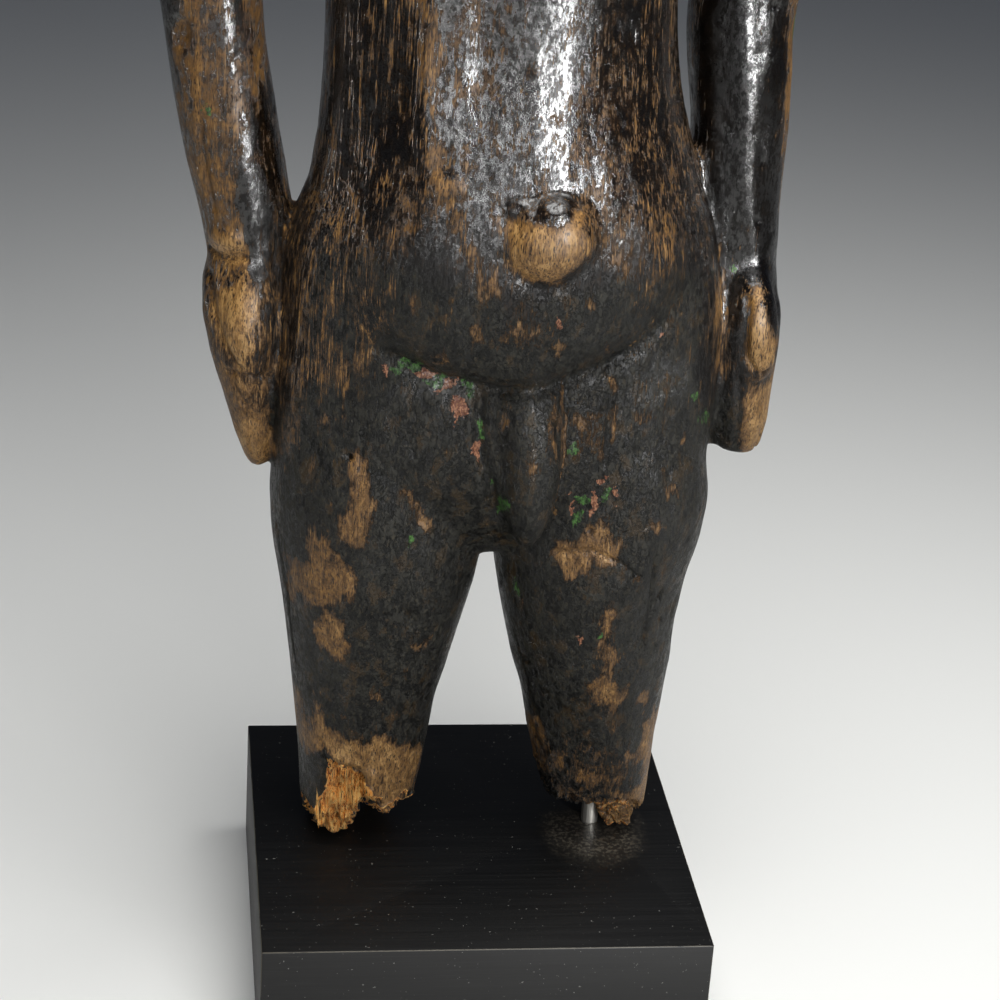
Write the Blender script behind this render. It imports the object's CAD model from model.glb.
import math
import bpy
import numpy as np
from mathutils import Matrix, Vector


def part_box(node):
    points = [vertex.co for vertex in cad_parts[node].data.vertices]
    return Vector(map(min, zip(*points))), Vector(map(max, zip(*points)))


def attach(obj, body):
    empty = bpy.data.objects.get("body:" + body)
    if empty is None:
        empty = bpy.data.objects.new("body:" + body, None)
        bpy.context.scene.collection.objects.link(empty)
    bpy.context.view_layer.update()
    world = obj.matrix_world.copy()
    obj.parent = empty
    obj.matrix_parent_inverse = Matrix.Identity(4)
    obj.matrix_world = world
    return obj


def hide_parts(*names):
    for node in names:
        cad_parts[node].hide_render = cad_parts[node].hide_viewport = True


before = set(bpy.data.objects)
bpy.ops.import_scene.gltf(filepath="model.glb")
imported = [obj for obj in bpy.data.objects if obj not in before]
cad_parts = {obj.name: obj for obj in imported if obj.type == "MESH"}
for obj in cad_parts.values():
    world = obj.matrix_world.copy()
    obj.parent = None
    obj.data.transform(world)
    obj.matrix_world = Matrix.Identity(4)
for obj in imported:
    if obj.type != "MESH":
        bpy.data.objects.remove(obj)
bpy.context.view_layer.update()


# Camera, floor and light
# The camera stands a little to the figure's right and looks down on the block, close enough for
# the picture's top edge to cut the figure at the chest. The room is a plain pale floor.
MM = 0.001
CAMERA_AZIMUTH = math.radians(-7.972)
CAMERA_ELEVATION = math.radians(24.536)
CAMERA_ROLL = math.radians(3.638)
CAMERA_DISTANCE = 907.25 * MM
CAMERA_TARGET = Vector((4.279 * MM, 0, 173.036 * MM))
CAMERA_LENS_MM = 97.757
SENSOR_MM = 36

backwards = Vector((
    math.sin(CAMERA_AZIMUTH) * math.cos(CAMERA_ELEVATION),
    -math.cos(CAMERA_AZIMUTH) * math.cos(CAMERA_ELEVATION),
    math.sin(CAMERA_ELEVATION),
))
level_right = backwards.cross(Vector((0, 0, -1))).normalized()
level_up = level_right.cross(-backwards)
camera_right = math.cos(CAMERA_ROLL) * level_right + math.sin(CAMERA_ROLL) * level_up
camera_up = -math.sin(CAMERA_ROLL) * level_right + math.cos(CAMERA_ROLL) * level_up
turn = Matrix((camera_right, camera_up, backwards)).transposed().to_4x4()
place = Matrix.Translation(CAMERA_TARGET + backwards * CAMERA_DISTANCE)
camera_data = bpy.data.cameras.new("camera")
camera_data.lens = CAMERA_LENS_MM
camera_data.sensor_width = SENSOR_MM
camera_data.sensor_height = SENSOR_MM
camera_data.clip_start = 0.01
camera = bpy.data.objects.new("camera", camera_data)
camera.matrix_world = place @ turn
bpy.context.scene.collection.objects.link(camera)
bpy.context.scene.camera = camera


# A hex colour as printed, turned into the linear numbers that a shader works with.
def linear(hex_colour):
    channels = [int(hex_colour[i:i + 2], 16) / 255 for i in (1, 3, 5)]
    return tuple(c / 12.92 if c <= 0.04045 else ((c + 0.055) / 1.055) ** 2.4 for c in channels) + (1,)


# An empty material with its shader, for one finish.
def finish_named(name):
    material = bpy.data.materials.new(name)
    material.use_nodes = True
    shader = material.node_tree.nodes["Principled BSDF"]
    return material, material.node_tree, shader


# A rectangular lamp at a place, turned to the spot that it aims at.
def soft_light(name, location, aim, size, watts, colour):
    light = bpy.data.lights.new(name, "AREA")
    light.shape = "RECTANGLE"
    light.size, light.size_y = size
    light.energy = watts
    light.color = colour
    lamp = bpy.data.objects.new(name, light)
    lamp.location = location
    lamp.rotation_euler = (Vector(aim) - Vector(location)).to_track_quat("-Z", "Y").to_euler()
    bpy.context.scene.collection.objects.link(lamp)
    return lamp


# One large softbox hangs over the figure, and two weaker ones fill its front and brighten the
# floor's right side. The strips beside the camera are there for the sheen alone.
WARM = (1, 0.99, 0.97)
WARMER = (1, 0.985, 0.96)
WHITE = (1, 1, 1)
KEY_SPREAD = math.radians(110)
key = soft_light("key_softbox", (0.12, -0.2, 0.9), (0.03, 0, 0), (0.85, 0.65), 4.8, WARM)
front_fill = soft_light("front_fill", (0.25, -1.15, 0.75), (0, 0, 0.2), (0.6, 0.5), 5.6, WARMER)
floor_fill = soft_light("floor_softbox", (0.8, -0.4, 0.7), (0.3, -0.15, 0), (0.5, 0.5), 0.3, WARM)
front_strip = soft_light("front_strip", (0.49, -1.05, 0.34), (0, 0, 0.3), (0.09, 0.66), 25, WHITE)
left_strip = soft_light("left_strip", (-0.30, -1.12, 0.36), (0, 0, 0.3), (0.05, 0.6), 4.2, WHITE)
key.data.spread = KEY_SPREAD
for fill in (front_fill, floor_fill):
    fill.visible_glossy = False
for strip in (front_strip, left_strip):
    strip.visible_diffuse = False

world = bpy.data.worlds.new("studio_air")
world.use_nodes = True
air = world.node_tree.nodes["Background"]
air.inputs["Color"].default_value = linear("#b3bdd2")
air.inputs["Strength"].default_value = 0.10
bpy.context.scene.world = world
bpy.context.scene.view_settings.view_transform = "Standard"

FLOOR_SIDE = 6
bpy.ops.object.select_all(action="DESELECT")
bpy.ops.mesh.primitive_plane_add(size=FLOOR_SIDE, location=(0, 0, 0))
floor = bpy.context.object
floor.name = "pale_floor"
paper, paper_tree, paper_shader = finish_named("matt_background_paper")
paper_shader.inputs["Base Color"].default_value = linear("#e3e4e2")
paper_shader.inputs["Roughness"].default_value = 0.9
floor.data.materials.append(paper)


# The figure
# One carving in a golden-brown hardwood, cut with adze and knife. The solid's form is rebuilt
# as one fine skin, its facets are worn smooth, and the knife work and breaks are cut back in.
SKIN_STEP = 1.0 * MM
SKIN_TRIANGLES = 180000
BLOCK_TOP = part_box("base")[1][2]
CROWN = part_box("figure")[1][2]

cad_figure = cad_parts["figure"]
carving = bpy.data.objects.new("carved_figure", cad_figure.data.copy())
bpy.context.scene.collection.objects.link(carving)


# Picks one piece alone, as Blender's tools want it.
def only(piece):
    bpy.ops.object.select_all(action="DESELECT")
    piece.select_set(True)
    bpy.context.view_layer.objects.active = piece


# Adds a modifier to a piece and applies it at once.
def finish_modifier(piece, kind, **settings):
    only(piece)
    modifier = piece.modifiers.new(kind.lower(), kind)
    for name, value in settings.items():
        setattr(modifier, name, value)
    bpy.ops.object.modifier_apply(modifier=modifier.name)


# Joins the points that the CAD mesh has doubled along its edges.
def weld(piece):
    only(piece)
    bpy.ops.object.mode_set(mode="EDIT")
    bpy.ops.mesh.select_all(action="SELECT")
    bpy.ops.mesh.remove_doubles(threshold=0.01 * MM)
    bpy.ops.object.mode_set(mode="OBJECT")


weld(carving)
finish_modifier(carving, "REMESH", mode="VOXEL", voxel_size=SKIN_STEP, use_smooth_shade=True)


# The skin's points in millimetres, and their outward directions.
def points_of(piece):
    flat = np.empty(len(piece.data.vertices) * 3, dtype=np.float32)
    piece.data.vertices.foreach_get("co", flat)
    return flat.reshape(-1, 3).astype(float) / MM


def directions_of(piece):
    flat = np.empty(len(piece.data.vertices) * 3, dtype=np.float32)
    piece.data.vertex_normals.foreach_get("vector", flat)
    return flat.reshape(-1, 3).astype(float)


def move_points(piece, points):
    piece.data.vertices.foreach_set("co", (points * MM).astype(np.float32).ravel())
    piece.data.update()


# Rises softly from 0 at low to 1 at high.
def ramp(value, low, high):
    t = np.clip((value - low) / (high - low), 0, 1)
    return t * t * (3 - 2 * t)


# How far the facets are rubbed down: much on the body, little on the face and at the breaks.
def rub_down(piece, rounds, weight):
    group = piece.vertex_groups.new(name="rub")
    steps = np.round(np.clip(weight, 0, 1) * 10).astype(int)
    for step in range(1, 11):
        chosen = np.nonzero(steps == step)[0]
        if len(chosen):
            group.add(chosen.tolist(), step / 10, "REPLACE")
    finish_modifier(piece, "SMOOTH", factor=0.5, iterations=rounds, vertex_group="rub")
    piece.vertex_groups.clear()


RUBBING_ROUNDS = 46
NECK_HEIGHT = 450
BREAK_HEIGHT = 84
points = points_of(carving)
across, deep, high = points.T
on_face = ramp(high, NECK_HEIGHT, NECK_HEIGHT + 15) * ramp(-deep, 20, 32)
near_break = 1 - ramp(high, BREAK_HEIGHT - 16, BREAK_HEIGHT + 6)
near_hand = ramp(np.abs(across + 2), 76, 80) * (1 - ramp(high, 250, 262))
on_ear = ramp(np.abs(across + 8), 36, 38) * ramp(high, NECK_HEIGHT, NECK_HEIGHT + 5)
keep = np.maximum.reduce([0.8 * on_face, 0.9 * near_break, 0.6 * near_hand, 0.7 * on_ear])
rub_down(carving, RUBBING_ROUNDS, 1 - keep)


# Smooth noise between -1 and 1 on a lattice, each cell as large as scale says, in millimetres.
def noise(places, scale, seed):
    cell = places / np.asarray(scale, dtype=float)
    corner = np.floor(cell).astype(np.int64)
    part = cell - corner
    part = part * part * (3 - 2 * part)
    total = np.zeros(len(places))
    for dx in (0, 1):
        for dy in (0, 1):
            for dz in (0, 1):
                x, y, z = corner[:, 0] + dx, corner[:, 1] + dy, corner[:, 2] + dz
                mixed = (x * 73856093) ^ (y * 19349663) ^ (z * 83492791) ^ (seed * 2654435761)
                mixed = (mixed ^ (mixed >> 13)) * 1274126177 & 0x7FFFFFFF
                mixed = (mixed ^ (mixed >> 11)) * 461845907 & 0x7FFFFFFF
                value = (mixed >> 7 & 0xFFFF) / 32767.5 - 1
                share_x = part[:, 0] if dx else 1 - part[:, 0]
                share_y = part[:, 1] if dy else 1 - part[:, 1]
                share_z = part[:, 2] if dz else 1 - part[:, 2]
                total += value * share_x * share_y * share_z
    return total


# The distance from each point, seen from the front, to a line cut through (x, z) places.
def from_line(line):
    best = np.full(len(points), 1e9)
    for (x0, z0), (x1, z1) in zip(line, line[1:]):
        length = (x1 - x0) ** 2 + (z1 - z0) ** 2
        along = np.clip(((across - x0) * (x1 - x0) + (high - z0) * (z1 - z0)) / length, 0, 1)
        best = np.minimum(best, np.hypot(across - x0 - along * (x1 - x0), high - z0 - along * (z1 - z0)))
    return best


# A rounded furrow along such a line, 1 along its middle.
def furrow(line, half_width):
    return np.exp(-(from_line(line) / half_width) ** 2) * front


# A soft round spot of 1 in its middle that fades to 0 at its edge.
def spot(x, z, half_wide, half_high):
    return (1 - ramp(np.hypot((across - x) / half_wide, (high - z) / half_high), 0.3, 1)) * front


# 1 inside an outline of (x, z) places and 0 outside, with an edge that is soft mm wide.
def inside(outline, soft=1.5):
    within = np.zeros(len(points), dtype=bool)
    for (x0, z0), (x1, z1) in zip(outline, outline[1:] + outline[:1]):
        if z0 != z1:
            crosses = (high > min(z0, z1)) & (high <= max(z0, z1))
            within ^= crosses & (across < x0 + (high - z0) * (x1 - x0) / (z1 - z0))
    apart = from_line(outline + outline[:1])
    return ramp(np.where(within, apart, -apart), -soft, soft)


points = points_of(carving)
across, deep, high = points.T
outward = directions_of(carving)
front = ramp(-outward[:, 1], 0.05, 0.35) * (deep < 6)
behind = ramp(outward[:, 1], 0.1, 0.5)

# What the rubbing took off round the limbs comes back as an even half millimetre.
RUBBED_OFF = 0.45
relief = np.full(len(points), RUBBED_OFF)

# The trunk's front: a flat that ends in an edge on the right side, a long low ridge in the
# middle and a hollow beside it
below_chest = 1 - ramp(high, 375, 410)
flat_edge = -33 + 0.02 * (high - 325)
relief -= (
    1.1 * (1 - ramp(across - flat_edge, -1.6, 1.2)) * ramp(across, -50, -37)
    * ramp(high, 285, 300) * below_chest * front
)
relief += 1.7 * np.exp(-((across - 5) / 12) ** 2) * ramp(high, 294, 316) * (1 - ramp(high, 400, 425)) * front
relief += 0.9 * np.exp(-((across + 31) / 5) ** 2) * ramp(high, 294, 310) * below_chest * front
relief -= 1.3 * np.exp(-((across + 14) / 6) ** 2) * ramp(high, 288, 302) * (1 - ramp(high, 380, 410)) * front

# The knife's groove under the belly's fold, which runs out to each hip, and the fold's full lip
fold_line = [
    (-58, 255), (-52, 248), (-46, 242), (-35, 237), (-20, 231), (-3, 228.5), (14, 230), (28, 235),
    (42, 243), (53, 254), (62, 262),
]
fold_share = 1 - 0.85 * ramp(np.abs(across - 2), 30, 52)
relief -= 2.0 * furrow(fold_line, 2.4) * fold_share
lip = [(x * 0.93, z + 9) for x, z in fold_line]
relief += 0.8 * furrow(lip, 8) * fold_share

# The navel: a boss with two worn knobs at its top and a crease below
relief += 1.2 * spot(-2, 291.5, 6.5, 4.4)
relief += 1.4 * spot(8, 292.5, 7, 4.4)
relief -= 0.9 * furrow([(-7, 276), (-1, 270), (6, 266.5), (14, 268), (20, 275)], 2.2)
relief += 0.9 * spot(-24, 297, 7, 6)

# The ridges along the arms, the gouge, the crack and the step over the right wrist
relief += 1.0 * furrow([(-91, 345), (-87, 318), (-85, 305), (-80, 274), (-78, 250)], 5)
relief += 1.3 * furrow([(68, 350), (73, 318), (75, 289), (81, 265), (84, 250)], 4.5)
relief -= 2.0 * spot(-103, 331, 4, 7)
relief -= 1.1 * furrow([(-97, 302), (-95, 288), (-92, 275)], 0.9)
relief += 1.2 * spot(-88, 266, 7, 4.5)
relief -= 1.5 * furrow([(-95, 260), (-90, 259), (-83, 260.5)], 1.3)

# The thumb and finger panels, each parted from the hand by a cut line
relief -= 1.4 * furrow([(-93, 252), (-92, 241), (-89, 232), (-84, 223.5)], 1.1)
relief -= 1.3 * furrow([(-86.5, 222), (-80, 221.5), (-74, 221)], 0.9)
relief -= 0.5 * furrow([(-76, 250), (-74.5, 235), (-73, 212), (-72.5, 192)], 2.4)
relief -= 1.3 * furrow([(79, 250), (79, 240), (80, 231), (84, 224.5), (89, 226), (91, 236)], 1.0)
relief -= 0.6 * furrow([(73, 252), (74, 238), (75, 215), (77, 198)], 2.0)
relief -= 1.0 * furrow([(79, 222), (80.5, 208), (81, 196)], 1.1)

# The cuts beside the relief in front and the two upright lines on the groin
relief -= 2.0 * furrow([(-9, 226), (-9, 211), (-5, 197), (-1, 184), (6, 174)], 1.8)
relief -= 1.2 * furrow([(18, 229), (18.5, 211), (18.5, 196), (17, 182), (13, 171)], 1.1)
relief -= 1.0 * furrow([(33, 231), (33, 214), (32.5, 201)], 0.9)

# Broad adze facets, then the shallow upright waves of the grain, then small dents and crust
for height, cell, seed in ((0.60, (13, 13, 30), 1), (0.22, (5, 5, 22), 2), (0.12, (2.4, 2.4, 7), 3)):
    relief += height * noise(points, cell, seed)
relief -= 0.35 * ramp(noise(points, (3.2, 3.2, 5), 4), 0.6, 0.9)

# Long drying checks along the grain, in the figure's front, sides and back
CHECK_REACH = 0.16
check_line = ramp(CHECK_REACH - np.abs(noise(points, (7, 7, 60), 6)), 0, CHECK_REACH)
checks = ramp(noise(points, (9, 9, 70), 5), 0.38, 0.5) * check_line
relief -= 0.9 * checks * np.maximum(behind, 1 - ramp(high, 215, 235))
relief -= 1.0 * furrow([(19, 168), (30, 170), (40, 166), (47, 160)], 0.9)

# Borer holes, a spine, the cleft behind and shoulder blades, cut plainly
borer_holes = [(30, 177), (-49, 202), (15, 120)]
for x, z in borer_holes:
    relief -= 2.4 * (1 - ramp(np.hypot(across - x, high - z), 0.5, 1.3)) * front
relief -= 1.6 * np.exp(-((across + 6) / 4) ** 2) * behind * ramp(high, 215, 250) * (1 - ramp(high, 400, 430))
relief -= 4.5 * np.exp(-(across / 3.5) ** 2) * behind * ramp(high, 160, 172) * (1 - ramp(high, 200, 216))
for side in (-1, 1):
    blade = np.hypot((across + 7 - 27 * side) / 17, (high - 388) / 24)
    relief += 1.8 * (1 - ramp(blade, 0.55, 1)) * behind

# The face: closed lids, a mouth line and a cap of hair with its edge, all cut lightly
FACE_MIDDLE = -8
LID_HEIGHT = 502.6
MOUTH_HEIGHT = 472.2
for side in (-1, 1):
    lid = []
    for s in (-1, -0.5, 0, 0.5, 1):
        lid.append((FACE_MIDDLE + side * (14 + 7.5 * s), LID_HEIGHT - 1.6 * (1 - s * s)))
    relief -= 0.9 * furrow(lid, 0.8)
relief -= 1.0 * furrow([(FACE_MIDDLE - 9, MOUTH_HEIGHT), (FACE_MIDDLE + 9, MOUTH_HEIGHT)], 0.8)
hairline = 522 - 0.62 * (deep + 34)
hair = ramp(high - hairline, -0.8, 0.8) * (high > NECK_HEIGHT + 8)
HAIR_ROW = 6.4
relief += hair * (1.0 + 0.35 * np.cos(high / HAIR_ROW * 2 * math.pi))

# The broken leg ends: the wood has torn along its grain into fibres, so the torn faces are
# deeply ribbed, and beetles have bored them through. A thin lip of skin hangs over the split.
split_face = [
    (-52, 84), (-47, 83), (-41, 80.5), (-37.5, 76), (-38.5, 69), (-40, 62), (-42, 56), (-40, 45),
    (-56, 45), (-56.5, 58), (-53, 65), (-51.5, 74),
]
facing_down = ramp(-outward[:, 2], 0.15, 0.5)
torn = np.maximum(inside(split_face, 0.8) * front, facing_down * (1 - ramp(high, 70, 82)))
ribs = noise(points, (1.8, 1.8, 15), 7) + 0.6 * noise(points, (1.1, 1.1, 8), 8)
relief += torn * (2.0 * ribs - 0.6)
relief -= torn * 2.6 * ramp(0.12 - np.abs(noise(points, (2.8, 2.8, 22), 10)), 0, 0.12)
relief -= torn * 2.0 * ramp(noise(points, (1.9, 1.9, 7), 9), 0.42, 0.7)
relief -= torn * 2.2 * np.exp(-(from_line([(-49, 82), (-47.5, 70), (-48, 54)]) / 0.9) ** 2)
relief += 0.9 * furrow([(-53, 86), (-47, 85), (-41, 82.5), (-36, 78), (-36, 70)], 1.6) * (1 - torn)
relief -= 2.0 * spot(-38, 61, 4, 6)

# The relief fades near the crown, and nothing leaves the solid's box or touches the block.
CLEAR_OF_BLOCK = 0.35
relief *= 1 - ramp(high, CROWN / MM - 16, CROWN / MM - 4)
points = points + outward * relief[:, None]
box_low, box_high = (np.array(corner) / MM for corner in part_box("figure"))
points = np.clip(points, box_low, box_high)
points[:, 2] = np.maximum(points[:, 2], BLOCK_TOP / MM + CLEAR_OF_BLOCK)
move_points(carving, points)

share = SKIN_TRIANGLES / (2 * len(carving.data.polygons))
if share < 1:
    finish_modifier(carving, "DECIMATE", ratio=share, use_collapse_triangulate=True)

# Loose splinters stand out of the torn ends. One is shaped, and each copy is turned and sized.
SPLINTER_LENGTH = 7 * MM
SPLINTER_ROOT = 0.75 * MM
SPLINTER_TIP = 0.16 * MM
RIM_SPLINTERS = 46
SPLIT_SPLINTERS = 20
MOST_LEAN = 0.16
bpy.ops.object.select_all(action="DESELECT")
bpy.ops.mesh.primitive_cone_add(
    vertices=5, radius1=SPLINTER_ROOT, radius2=SPLINTER_TIP, depth=SPLINTER_LENGTH,
)
splinter = bpy.context.object
bpy.ops.object.mode_set(mode="EDIT")
bpy.ops.mesh.select_all(action="SELECT")
bpy.ops.mesh.subdivide(number_cuts=2, fractal=0.6, seed=4)
bpy.ops.object.mode_set(mode="OBJECT")

points = points_of(carving)
across, deep, high = points.T
outward = directions_of(carving)
front = ramp(-outward[:, 1], 0.05, 0.35) * (deep < 6)
rim = (outward[:, 2] < -0.25) & (high < 78) & (high > 47) & (outward[:, 1] < 0.4)
on_split = (inside(split_face, 0.8) * front > 0.9) & (high > 52)
steady = np.random.default_rng(11)
rim_roots = steady.permutation(np.nonzero(rim)[0])[:RIM_SPLINTERS]
split_roots = steady.permutation(np.nonzero(on_split)[0])[:SPLIT_SPLINTERS]
copies = []
for root in np.concatenate([rim_roots, split_roots]):
    drop = steady.uniform(0.25, 0.62)
    lean = Matrix.Rotation(steady.uniform(-MOST_LEAN, MOST_LEAN), 4, "X")
    lean = lean @ Matrix.Rotation(steady.uniform(-MOST_LEAN, MOST_LEAN), 4, "Y")
    size = Matrix.Diagonal((steady.uniform(0.5, 1.2), steady.uniform(0.35, 0.9), -drop, 1))
    spin = Matrix.Rotation(steady.uniform(0, 6.2), 4, "Z")
    where = Vector(points[root] * MM)
    where.z = max(where.z, BLOCK_TOP + 0.5 * MM + SPLINTER_LENGTH * drop * 0.5)
    one = splinter.copy()
    one.data = splinter.data.copy()
    one.data.transform(Matrix.Translation(where) @ lean @ size @ spin)
    one.data.flip_normals()
    bpy.context.scene.collection.objects.link(one)
    copies.append(one)
bpy.data.objects.remove(splinter)
skin_points = len(carving.data.vertices)
bpy.ops.object.select_all(action="DESELECT")
for one in copies:
    one.select_set(True)
carving.select_set(True)
bpy.context.view_layer.objects.active = carving
bpy.ops.object.join()
bpy.ops.object.shade_smooth()


# What is only colour is kept as soft maps on the skin's points, and the material gives each
# one its ragged edge. Wear runs from 0, whole coat, over thin brown at a half, to 1, bare wood.
points = points_of(carving)
outward = directions_of(carving)
front = ramp(-outward[:, 1], -0.2, 0.1)
behind = 1 - front
of_splinter = np.arange(len(points)) >= skin_points
across, deep, high = points.T.copy()
at_hand = ramp(np.abs(across), 70, 74) * (1 - ramp(high, 262, 272))
at_navel = (1 - ramp(np.hypot(across - 6, high - 282), 16, 26)) * (deep < 0)
steadier = 1 - 0.5 * np.maximum(at_hand, at_navel)
across += steadier * (2.4 * noise(points, (5, 5, 9), 21) + 1.1 * noise(points, (2, 2, 3.4), 22))
high += steadier * (3.6 * noise(points, (4, 4, 11), 23) + 1.8 * noise(points, (1.8, 1.8, 4), 24))

# The even wear of each part: least on the left arm and down the middle, most on the hands
arm_middle = -82 - 0.14 * (high - 262)
on_right_arm = ramp(-across, 72, 75) * ramp(high, 250, 262)
left_gap = 57 + 0.12 * (345 - high)
on_left_arm = ramp(across, left_gap, left_gap + 3) * ramp(high, 262, 275)
on_trunk = (1 - on_right_arm) * (1 - on_left_arm)
wear = 0.30 + 0.06 * ramp(high, 262, 300) * on_trunk
wear += 0.03 * ramp(across, 8, 22) * ramp(high, 262, 300) * on_trunk
wear += at_hand * (0.26 * ramp(-across, 72, 75) + 0.3 * ramp(across, 80, 84))
right_arm_outside = 0.20 * (1 - ramp(across - arm_middle, 0, 8))
wear += on_right_arm * (0.08 + right_arm_outside - 0.3 * ramp(arm_middle - across, 9, 13))
wear -= on_left_arm * (0.22 - 0.16 * ramp(across, 69, 75))
groin_rows = (1 - ramp(high, 205, 235)) * ramp(high, 150, 165)
wear -= 0.04 * (1 - ramp(np.abs(across - 2), 14, 30)) * groin_rows
wear -= 0.12 * (1 - ramp(np.abs(across - 2), 20, 34)) * (1 - ramp(high, 150, 170))
wear += 0.08 * (1 - ramp(high, 95, 118))
wear = np.where(behind > 0.5, 0.4 + 0.10 * noise(points, (22, 22, 50), 25), wear)

# Places of their own wear, each with its level and its outline as seen from the front
worn_places = {
    "right_thumb_panel": (0.95, [(-90, 250), (-81, 253), (-77.5, 245), (-78.5, 234), (-79.5, 224),
        (-84, 223.5), (-89, 232), (-92, 241)]),
    "right_finger_panel": (0.68, [(-93, 222), (-75, 222), (-73, 205), (-73, 192), (-84, 196),
        (-91, 210)]),
    "right_fingertips": (0.86, [(-85, 206), (-76, 206), (-72, 194), (-76, 183), (-83, 190)]),
    "right_arm_outside": (0.64, [(-107, 348), (-104, 396), (-99, 350), (-94, 320), (-90, 300),
        (-87, 284), (-85, 264), (-91, 261), (-97, 270), (-103, 300)]),
    "right_arm_inside": (0.62, [(-86, 345), (-82, 388), (-78, 345), (-76, 318), (-79, 305), (-84, 322)]),
    "right_wrist_dark": (0.22, [(-84, 287), (-76, 287), (-75, 262), (-77, 251), (-81, 254), (-83, 268)]),
    "right_wrist_step": (0.98, [(-91, 268), (-86, 267), (-86, 262), (-90, 261)]),
    "navel_knobs": (0.38, [(-11, 288), (-9, 297), (0, 301), (12, 301), (21, 296), (16, 289), (4, 287)]),
    "navel_boss": (0.84, [(-8, 287), (0, 289), (8, 289), (15, 292), (20, 297), (23, 295), (22, 284),
        (17, 274), (9, 268.5), (2, 269), (-5, 275)]),
    "strip_by_flat_edge": (0.60, [(-36, 362), (-32, 404), (-28, 362), (-26, 334), (-26, 310),
        (-24, 293), (-27, 287), (-31, 305), (-33, 325)]),
    "strip_to_navel": (0.58, [(-26, 298), (-22, 299), (-19, 292), (-17, 283), (-10, 274), (-7, 267),
        (-10, 262), (-16, 270), (-22, 280)]),
    "upper_middle": (0.48, [(-28, 362), (-22, 398), (-14, 378), (-8, 358), (-8, 335), (-12, 323),
        (-18, 320), (-24, 325)]),
    "chest_left": (0.46, [(13, 335), (28, 330), (35, 306), (29, 293), (19, 297), (12, 312)]),
    "belly_left": (0.50, [(18, 301), (36, 297), (50, 290), (54, 272), (41, 263), (26, 270), (18, 284)]),
    "right_hip": (0.47, [(-68, 300), (-53, 300), (-43, 277), (-40, 250), (-48, 222), (-64, 226),
        (-72, 265)]),
    "strip_foot": (0.74, [(-30, 303), (-19, 300), (-20, 293), (-29, 292)]),
    "strip_foot_shadow": (0.52, [(-38, 302), (-31, 300), (-32, 290), (-36, 272), (-41, 277)]),
    "left_thumb_panel": (0.98, [(79, 250), (82, 255), (85, 247), (87.5, 240), (91, 234), (89, 226),
        (84, 225.5), (80, 231)]),
    "left_fingers": (0.92, [(82, 216), (92, 220), (94, 209), (92, 196), (88, 193), (84, 195), (83, 207)]),
    "left_web": (0.74, [(68, 250), (71, 259), (73, 238), (74, 220), (71, 224)]),
    "left_arm_edge": (0.74, [(85, 350), (90, 394), (96, 350), (95, 326), (94, 303), (93, 279),
        (92, 270), (89, 276), (88, 288), (86.5, 314)]),
    "left_wrist_dark": (0.08, [(77, 262), (82, 268), (88, 272), (95, 268), (95, 240), (91, 235),
        (87.5, 242), (85, 250), (82, 257)]),
    "right_thigh_patch": (0.74, [(-67, 158), (-62, 161), (-60, 178), (-56, 175), (-53, 167), (-47, 165),
        (-45, 155), (-46, 147), (-53, 150), (-59, 146), (-66, 146)]),
    "right_thigh_lower_patch": (0.76, [(-56, 147), (-48, 142), (-44, 131), (-48, 126), (-55, 128),
        (-59, 137)]),
    "right_thigh_upper_patch": (0.72, [(-50, 202), (-46, 205), (-42, 195), (-41, 185), (-43, 170),
        (-49, 171), (-53, 180), (-48, 187)]),
    "right_thigh_scratch": (0.74, [(-34, 190), (-31, 191), (-20, 178), (-22, 175.5)]),
    "left_thigh_patch": (0.74, [(18, 167), (24, 171), (29, 181), (36, 183), (39, 174), (39, 167),
        (31, 165), (30, 160), (21, 162)]),
    "left_shin_streak": (0.64, [(36, 146), (41, 145), (43, 114), (38, 114)]),
    "left_shin_patch": (0.70, [(32, 118), (46, 119), (48, 107), (36, 105)]),
    "right_stump_rim": (0.86, [(-59, 88), (-55, 106), (-48, 94), (-34, 95), (-20, 87), (-17, 74),
        (-22, 62), (-30, 55), (-37, 60), (-37, 77), (-42, 81), (-52, 86)]),
    "right_stump_side": (0.70, [(-66, 104), (-60, 106), (-57, 84), (-66, 80)]),
    "left_stump_inside": (0.72, [(16, 92), (22, 97), (26, 73), (28, 58), (18, 62)]),
    "left_stump_outside": (0.78, [(56, 97), (66, 100), (66, 56), (57, 57)]),
    "left_stump_rim": (0.86, [(40, 65), (50, 69), (66, 71), (66, 40), (40, 40)]),
    "right_web": (0.48, [(-75, 262), (-62, 262), (-62, 200), (-72, 190)]),
    "left_stump_glaze": (0.50, [(22, 84), (32, 92), (48, 88), (58, 84), (60, 68), (42, 60), (26, 62)]),
    "belly_fleck": (0.52, [(-8, 262), (4, 262), (8, 252), (0, 244), (-8, 250)]),
    "groin_line_inside": (0.50, [(12, 228), (17, 226), (17, 208), (12, 204)]),
    "groin_line_outside": (0.52, [(20, 222), (31, 226), (31, 206), (22, 206)]),
    "split_shadow": (0.25, [(-39.5, 72), (-36, 70), (-33, 60), (-36, 54), (-41, 58)]),
    "split_paint": (0.02, [(-68, 84), (-60, 80), (-51.5, 84), (-52, 64), (-56, 58), (-66, 60)]),
}
for level, outline in worn_places.values():
    mask = inside(outline, 2.2) * front * (deep < 14)
    wear = wear * (1 - mask) + level * mask

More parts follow.
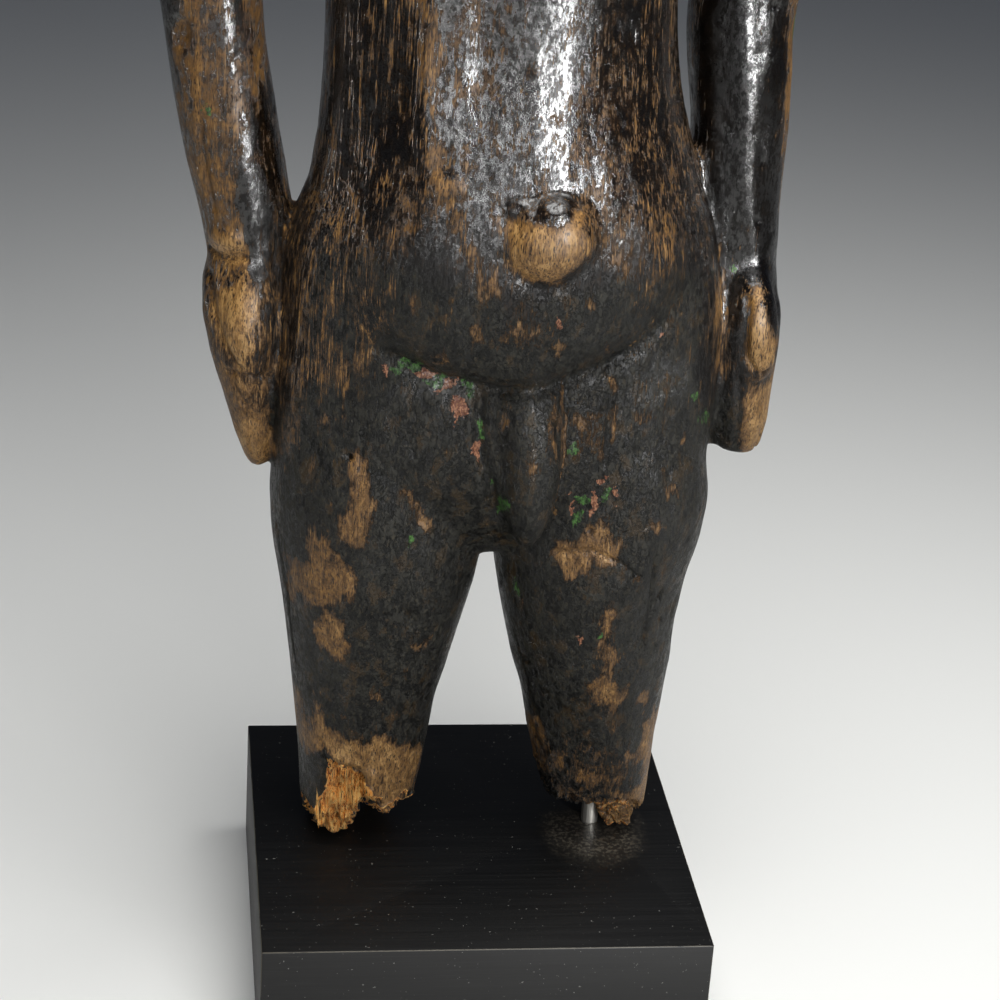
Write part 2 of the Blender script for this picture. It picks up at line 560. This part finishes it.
# Small chips, about 3 mm across
small_chips = [
    (-9, 266), (-33, 260), (-13, 251), (21, 262), (46, 299), (-49, 285), (47, 158), (54, 107),
    (-24, 240), (30, 244), (12, 246), (-40, 262), (-28, 122), (-22, 130), (-36, 112), (45, 215),
    (8, 205), (22, 217), (-3, 217), (57, 190), (52, 176), (60, 205), (-58, 212), (-52, 216),
]
for x, z in small_chips:
    reach = np.hypot((across - x) / 3.2, (high - z) / 3.6)
    wear = np.maximum(wear, (0.66 - 0.3 * ramp(reach, 0.2, 1.1)) * (reach < 1.1) * front)
streaks_behind = 0.64 * ramp(noise(points, (7, 7, 34), 26), 0.35, 0.7)
wear = np.where(behind > 0.5, np.maximum(wear, streaks_behind), wear)

# How far the fibres of the wood show as hairs: most on the hips, the trunk's sides and the webs
at_sides = 0.6 * ramp(np.abs(across + 3), 30, 45) * ramp(high, 205, 230)
hairy = 0.12 + 0.13 * ramp(high, 230, 270) + at_sides * np.maximum(on_trunk, at_hand)
tan_outline = [(-40, 362), (-33, 405), (-26, 362), (-22, 296), (-8, 270), (-16, 262), (-34, 290)]
tan_strip = inside(tan_outline, 3) * front
hairy = np.maximum(hairy, 0.8 * tan_strip)
hairy = np.maximum(hairy, 0.6 * behind)
hairy = np.maximum(hairy, 0.4 * at_navel)

# Mat grey-black paint from the belly's lower half down, and over much of the back
mat = np.clip(1 - ramp(high, 246, 286) + 0.25 * noise(points, (14, 14, 26), 13), 0, 1)
mat *= 1 - ramp(np.abs(across), 58, 68) * ramp(high, 205, 225)

# Gloss where hands and oil have polished it: the trunk's middle, the arms and the wrists
gloss = np.clip(ramp(high, 262, 292) + 0.2 * noise(points, (8, 8, 18), 14), 0, 1)
gloss = np.maximum(gloss, 1.1 * ramp(np.abs(across + 4), 72, 76) * ramp(high, 232, 250))
gloss *= 1 - 0.7 * ramp(high, 385, 430)
gloss = np.maximum(gloss, 1.2 * spot(3, 292, 16, 6))
gloss = np.maximum(gloss, 0.35 * spot(-26, 228, 16, 7) + 0.7 * spot(52, 228, 13, 12))


# Small spots of paint, each given by its middle and its half width and height.
def painted_spots(spots):
    total = np.zeros(len(points))
    for x, z, half_wide, half_high in spots:
        reach = np.hypot((across - x) / half_wide, (high - z) / half_high)
        total = np.maximum(total, 1 - ramp(reach, 0.4, 1.3))
    return total * front


green = painted_spots([
    (-95, 311, 1.6, 1.9), (90, 338, 2, 6), (75, 259, 1.6, 2.2), (-33, 235, 5, 1.7),
    (-25, 231, 5, 1.7), (-14, 229, 2.7, 3.4), (-9, 214, 1.6, 3.6), (21, 209, 1.8, 3.8),
    (28, 189, 3, 3), (35, 192, 2, 4), (25, 183, 2, 3.4), (9, 148, 1.5, 4), (36, 136, 1.4, 1.7),
    (66, 213, 2.8, 2.6), (-29, 175, 1.6, 1.3), (62, 222, 1.5, 2), (0, 187, 0.9, 7), (-5, 198, 0.9, 6),
])
pink = painted_spots([
    (-38, 235, 1.8, 1.8), (-28, 233.5, 6, 1.4), (-20, 229, 4, 1.4), (-15, 221, 2.8, 4.2),
    (-10, 208, 1.2, 3.2), (12, 254, 1.5, 3), (48, 242, 2.2, 2.4), (31, 191, 1.5, 5), (11, 145, 1, 2),
    (28, 136, 3, 1.2), (-18, 224, 0.9, 4), (23, 188, 1.2, 5), (38, 189, 1.3, 5), (31, 184, 3, 1.2),
    (33, 198, 3, 1.2),
])
for line in ([(18, 229), (18.5, 211), (18.5, 196), (17, 182)], [(33, 231), (33, 214), (32.5, 203)]):
    wear = np.maximum(wear, 0.7 * furrow(line, 0.8))

# Torn wood is fresh on the split and by the pin, and has darkened elsewhere on the left leg
facing_down = ramp(-outward[:, 2], 0.15, 0.5)
torn = np.maximum(inside(split_face, 0.8) * front * (deep < 0), facing_down * (1 - ramp(high, 70, 80)))
torn = np.maximum(torn, of_splinter)
fresh_by_pin = (1 - ramp(np.hypot((across - 50) / 9, (high - 56) / 12), 0.6, 1.1)) * (deep < 4)
torn *= np.where(across > 0, np.maximum(0.3, 0.95 * fresh_by_pin), 1)
inner_dark = ramp(across, 56, 60) * (1 - ramp(across, 66, 72)) * ramp(high, 285, 300)
wear = np.minimum(wear, 1 - 0.85 * inner_dark)

colour_maps = {
    "wear": wear, "hairy": hairy, "mat": mat, "gloss": gloss, "green": green, "pink": pink, "torn": torn,
}
for name, values in colour_maps.items():
    layer = carving.data.attributes.new(name, "FLOAT", "POINT")
    layer.data.foreach_set("value", np.clip(values, 0, 1).astype(np.float32))


# Blackened hardwood: soot, oil and old paint over golden-brown fibres that run up the figure.
# It is dull where the paint lies and shines in broken ripples where it has been handled.
blackened, tree, shader = finish_named("blackened_carved_hardwood")


# Adds a node with its settings to the material in hand, and hands back one of its outputs. Each
# input is a link or a plain value, in the order in which the node shows its inputs.
def node(kind, *inputs, output=None, **settings):
    made = tree.nodes.new("ShaderNode" + kind)
    for name, value in settings.items():
        setattr(made, name, value)
    shown = [socket for socket in made.inputs if socket.enabled]
    for socket, value in zip(shown, inputs):
        if isinstance(value, bpy.types.NodeSocket):
            tree.links.new(value, socket)
        else:
            socket.default_value = value
    return made.outputs[output] if output else next(s for s in made.outputs if s.enabled)


# Noise drawn out along one axis. width and length are the real size of a streak in mm.
def streaks(width, length, detail, rough, axis=2):
    repeats = [1 / (width * MM)] * 3
    repeats[axis] = 1 / (length * MM)
    stretched = node("VectorMath", coordinates, repeats, operation="MULTIPLY")
    return node("TexNoise", stretched, 1.0, detail, rough)


# Pushes a value up and down by patterns, each round its own middle and with its own swing.
def pushed(value, *patterns):
    for pattern, swing in patterns:
        push = node("Math", pattern, 0.5, operation="SUBTRACT")
        value = node("Math", push, swing, value, operation="MULTIPLY_ADD")
    return value


# Adds up patterns, each with its own share.
def summed(*patterns):
    total = 0.0
    for pattern, share in patterns:
        total = node("Math", pattern, share, total, operation="MULTIPLY_ADD")
    return total


# Lays one colour over another where a pattern rises from low to high. The cover is at most as
# thick as most says, and it keeps within a second pattern if there is one.
def laid_over(under, over, pattern, low, high, most=1.0, within=None):
    cover = node("MapRange", pattern, low, high, 0.0, most, interpolation_type="SMOOTHSTEP")
    if within is not None:
        cover = node("Math", cover, within, operation="MULTIPLY")
    under, over = (linear(colour) if isinstance(colour, str) else colour for colour in (under, over))
    return node("Mix", cover, under, over, data_type="RGBA")


# Sets the colours of a colour ramp, given from its low end to its high one.
def set_colours(colour_ramp, stops):
    ends = colour_ramp.elements
    ends[0].position, ends[0].color = stops[0][0], linear(stops[0][1])
    ends[1].position, ends[1].color = stops[-1][0], linear(stops[-1][1])
    for position, colour in stops[1:-1]:
        colour_ramp.elements.new(position).color = linear(colour)


coordinates = node("TexCoord", output="Object")
wear_map, hairy_map, mat_map, gloss_map, green_map, pink_map, torn_map = (
    node("Attribute", output="Fac", attribute_name=name)
    for name in ("wear", "hairy", "mat", "gloss", "green", "pink", "torn")
)
fibre = streaks(0.75, 26, 4, 0.64)
thread = streaks(0.42, 9, 3, 0.62)
coarse = streaks(3.4, 22, 4, 0.62)
blotch = streaks(6, 10, 6, 0.7)
flake = streaks(2.2, 3.6, 5, 0.72)
speck = streaks(0.8, 1.0, 3, 0.6)
crust = streaks(1.1, 2.2, 5, 0.7)
blister = streaks(0.6, 1.0, 2, 0.55)
pore = streaks(0.4, 2.4, 2, 0.5)
craze = streaks(3.0, 4.6, 3, 0.62)
rib = streaks(1.1, 12, 4, 0.7)

# Bare wood, brown glaze and black coat, parted by a worn field that single fibres make ragged
hair_amount = node("Math", hairy_map, 2.2, 0.35, operation="MULTIPLY_ADD")
hair_amount = node("Math", hair_amount, pushed(0.85, (coarse, 5.0)), operation="MULTIPLY")
hair_amount = node("Math", hair_amount, 0.25, operation="MAXIMUM")
hairs = pushed(0.0, (fibre, 0.75), (thread, 0.5))
field = pushed(wear_map, (blotch, 0.85), (coarse, 0.35), (flake, 0.8))
field = node("Math", hairs, hair_amount, field, operation="MULTIPLY_ADD")
wood = node("ValToRGB", field)
set_colours(wood.node.color_ramp, [
    (0.00, "#050302"), (0.33, "#0c0805"), (0.43, "#1d140b"), (0.50, "#332312"), (0.57, "#4f381d"),
    (0.70, "#71512a"), (0.86, "#8f6a3a"), (1.00, "#ad8753"),
])
bare_edge = node("MapRange", field, 0.50, 0.60, interpolation_type="SMOOTHSTEP")
wood = laid_over(wood, "#33210f", pore, 0.55, 0.64, 1.0, bare_edge)
wood = laid_over(wood, "#b1905f", thread, 0.56, 0.74, 0.4, bare_edge)
wood = laid_over(wood, "#463019", crust, 0.52, 0.64, 0.6, bare_edge)

# Old mat paint, in flakes and crusts, with thin cracks where a slow pattern passes its middle
from_crack = node("Math", pushed(0.0, (craze, 1.0)), operation="ABSOLUTE")
craze_line = node("MapRange", from_crack, 0.004, 0.02, 1.0, 0.0, interpolation_type="SMOOTHSTEP")
mat_paint = laid_over("#060605", "#24231d", flake, 0.45, 0.55)
mat_paint = laid_over(mat_paint, "#13130f", coarse, 0.5, 0.62, 0.7)
mat_paint = laid_over(mat_paint, "#3d3728", crust, 0.56, 0.62, 0.6)
mat_paint = laid_over(mat_paint, "#38290f", blotch, 0.54, 0.6, 0.7)
cracks = node("Math", craze_line, 0.8, operation="MULTIPLY")
mat_paint = node("Mix", cracks, mat_paint, linear("#050504"), data_type="RGBA")
mat_field = pushed(mat_map, (blotch, 1.1))
mat_edge = node("MapRange", mat_field, 0.4, 0.56, interpolation_type="SMOOTHSTEP")
coat_left = node("MapRange", field, 0.46, 0.54, 1.0, 0.0, interpolation_type="SMOOTHSTEP")
painted = node("Math", mat_edge, coat_left, operation="MULTIPLY")
wood = node("Mix", painted, wood, mat_paint, data_type="RGBA")

# Flecks of green and pink paint, and the orange of freshly torn wood
pink_paint = laid_over("#6d3f2c", "#a8785a", blister, 0.42, 0.6)
green_paint = laid_over("#1c2c14", "#4d7a38", crust, 0.42, 0.62)
flecked = laid_over(wood, pink_paint, pushed(pink_map, (speck, 1.6)), 0.55, 0.62)
flecked = laid_over(flecked, green_paint, pushed(green_map, (speck, 1.4)), 0.55, 0.62)
raw = node("ValToRGB", summed((thread, 0.4), (rib, 0.6)))
set_colours(raw.node.color_ramp, [
    (0.39, "#2a1003"), (0.42, "#964708"), (0.46, "#f0922f"), (0.53, "#ffc874"),
])
raw = laid_over(raw, "#4a2006", thread, 0.57, 0.63)
finished = laid_over(flecked, raw, pushed(torn_map, (flake, 0.8)), 0.35, 0.6)
tree.links.new(finished, shader.inputs["Base Color"])

# Handled places are smooth and bright, in broken ripples. Bare and torn wood is dull.
handled = node("Clamp", pushed(gloss_map, (blotch, 1.0)))
sheen_break = summed((flake, 0.55), (crust, 0.45))
dull = node("MapRange", sheen_break, 0.46, 0.56, 0.34, 0.6, interpolation_type="SMOOTHSTEP")
shiny = node("MapRange", sheen_break, 0.47, 0.55, 0.08, 0.25, interpolation_type="SMOOTHSTEP")
roughness = node("Mix", handled, dull, shiny)
roughness = node("Mix", node("Math", bare_edge, 0.75, operation="MULTIPLY"), roughness, 0.5)
roughness = node("Mix", torn_map, roughness, 0.9)
tree.links.new(roughness, shader.inputs["Roughness"])
bright = node("MapRange", sheen_break, 0.46, 0.54, 0.9, 0.25, interpolation_type="SMOOTHSTEP")
shine = node("Mix", handled, 0.2, bright)
shine = node("Mix", node("Math", bare_edge, 0.8, operation="MULTIPLY"), shine, 0.28)
tree.links.new(shine, shader.inputs["Specular IOR Level"])

# The fine surface: crusts and blisters on the coat, pores in bare wood, scales of paint with
# cracks between them, and deep ribs where the wood is torn
scale_edge = node("MapRange", flake, 0.47, 0.53, interpolation_type="SMOOTHSTEP")
unhandled = node("Math", 1.0, handled, operation="SUBTRACT")
scales = node("Math", scale_edge, unhandled, operation="MULTIPLY")
crazing = node("Math", craze_line, mat_edge, operation="MULTIPLY")
torn_ribs = node("Math", torn_map, rib, operation="MULTIPLY")
hills = node("Mix", bare_edge, summed((crust, 0.5), (blister, 0.2)), summed((pore, -0.3)))
hills = summed(
    (hills, 1.0), (fibre, 0.3), (thread, 0.12), (flake, 0.4), (scales, 0.3), (crazing, -0.6),
    (bare_edge, -0.55), (torn_ribs, 3.0),
)
hills = node("Math", hills, node("Mix", handled, 1.7, 0.6), operation="MULTIPLY")
bump = node("Bump", 0.85, 0.36 * MM)
tree.links.new(hills, bump.node.inputs["Height"])
tree.links.new(bump, shader.inputs["Normal"])

carving.data.materials.clear()
carving.data.materials.append(blackened)
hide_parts("figure")
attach(carving, "root")


# The pin
# A bright steel rod, cut from drawn bar, that holds the figure clear of its block. Drawing left
# fine lines along it and a satin shine.
steel, tree, shader = finish_named("drawn_satin_steel")
coordinates = node("TexCoord", output="Object")
draw_lines = streaks(0.35, 30, 3, 0.6)
satin = node("Mix", draw_lines, linear("#b3aea4"), linear("#dddbd5"), data_type="RGBA")
shader.inputs["Metallic"].default_value = 1.0
tree.links.new(satin, shader.inputs["Base Color"])
tree.links.new(node("Mix", draw_lines, 0.3, 0.5), shader.inputs["Roughness"])
cad_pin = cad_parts["mounting_pin"]
cad_pin.data.materials.clear()
cad_pin.data.materials.append(steel)


# The block
# A square of close-grained wood, stained black and rubbed to a satin. Its edges are just
# broken, and round the pin the stain is rubbed grey.
cad_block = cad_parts["base"]
block = bpy.data.objects.new("black_block", cad_block.data.copy())
bpy.context.scene.collection.objects.link(block)
EDGE_BREAK = 0.5 * MM
weld(block)
bpy.ops.object.mode_set(mode="EDIT")
bpy.ops.mesh.select_all(action="SELECT")
bpy.ops.mesh.dissolve_limited(angle_limit=math.radians(1))
bpy.ops.object.mode_set(mode="OBJECT")
finish_modifier(
    block, "BEVEL", width=EDGE_BREAK, segments=3, limit_method="ANGLE", angle_limit=math.radians(60),
)
only(block)
bpy.ops.object.shade_smooth_by_angle(angle=math.radians(30))

DUST_SPECKS_PER_METRE = 900.0
CLOUDS_PER_METRE = 90.0
stained, tree, shader = finish_named("black_stained_close_grained_wood")
coordinates = node("TexCoord", output="Object")
grain = streaks(0.8, 60, 4, 0.5, axis=0)
fine_grain = streaks(0.35, 25, 2, 0.5, axis=0)
dust = node("TexNoise", coordinates, DUST_SPECKS_PER_METRE, 2.0)
cloud = node("TexNoise", coordinates, CLOUDS_PER_METRE, 5.0)
where = node("SeparateXYZ", coordinates).node.outputs

# The grey patch round the pin and before it, on the block's top alone
RUBBED_WIDE = 19 * MM
RUBBED_DEEP = 22 * MM
RUBBED_BEFORE_PIN = 9 * MM
(pin_left, pin_front, _), (pin_right, pin_back, _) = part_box("mounting_pin")
patch_middle = ((pin_left + pin_right) / 2, (pin_front + pin_back) / 2 - RUBBED_BEFORE_PIN, 0)
from_middle = node("VectorMath", coordinates, patch_middle, operation="SUBTRACT")
from_middle = node("VectorMath", from_middle, (1 / RUBBED_WIDE, 1 / RUBBED_DEEP, 0), operation="MULTIPLY")
patch_reach = pushed(node("VectorMath", from_middle, operation="LENGTH"), (cloud, 0.7))
rubbed = node("MapRange", patch_reach, 0.5, 1.15, 0.85, 0.0, interpolation_type="SMOOTHSTEP")
on_top = node("Math", where["Z"], BLOCK_TOP - 1 * MM, operation="GREATER_THAN")
rubbed = node("Math", rubbed, on_top, operation="MULTIPLY")

# The bare hairline along the block's edges, where the stain has rubbed through: an edge is
# where two of its faces are near
LINE = 0.3 * MM
from_x, from_y = (node("Math", where[axis], operation="ABSOLUTE") for axis in "XY")
faces_near = 0.0
for level, face in zip((from_x, from_y, where["Z"]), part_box("base")[1]):
    near = node("Math", level, face - LINE, operation="GREATER_THAN")
    faces_near = node("Math", near, faces_near, operation="ADD")
on_edge = node("Math", faces_near, 1.5, operation="GREATER_THAN")

black_stain = laid_over("#020202", "#080808", grain, 0.35, 0.7)
black_stain = laid_over(black_stain, "#101010", fine_grain, 0.6, 0.75)
black_stain = laid_over(black_stain, "#6a6a66", dust, 0.72, 0.76)
rubbed_grey = laid_over("#211e1a", "#4b463d", dust, 0.46, 0.62)
black_stain = node("Mix", rubbed, black_stain, rubbed_grey, data_type="RGBA")
black_stain = laid_over(black_stain, "#5a5548", cloud, 0.34, 0.5, 0.6, on_edge)
tree.links.new(black_stain, shader.inputs["Base Color"])
tree.links.new(node("Mix", grain, 0.42, 0.56), shader.inputs["Roughness"])
shader.inputs["Specular IOR Level"].default_value = 0.27
bump = node("Bump", 0.2, 0.1 * MM)
tree.links.new(grain, bump.node.inputs["Height"])
tree.links.new(bump, shader.inputs["Normal"])
block.data.materials.clear()
block.data.materials.append(stained)
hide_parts("base")
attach(block, "root")
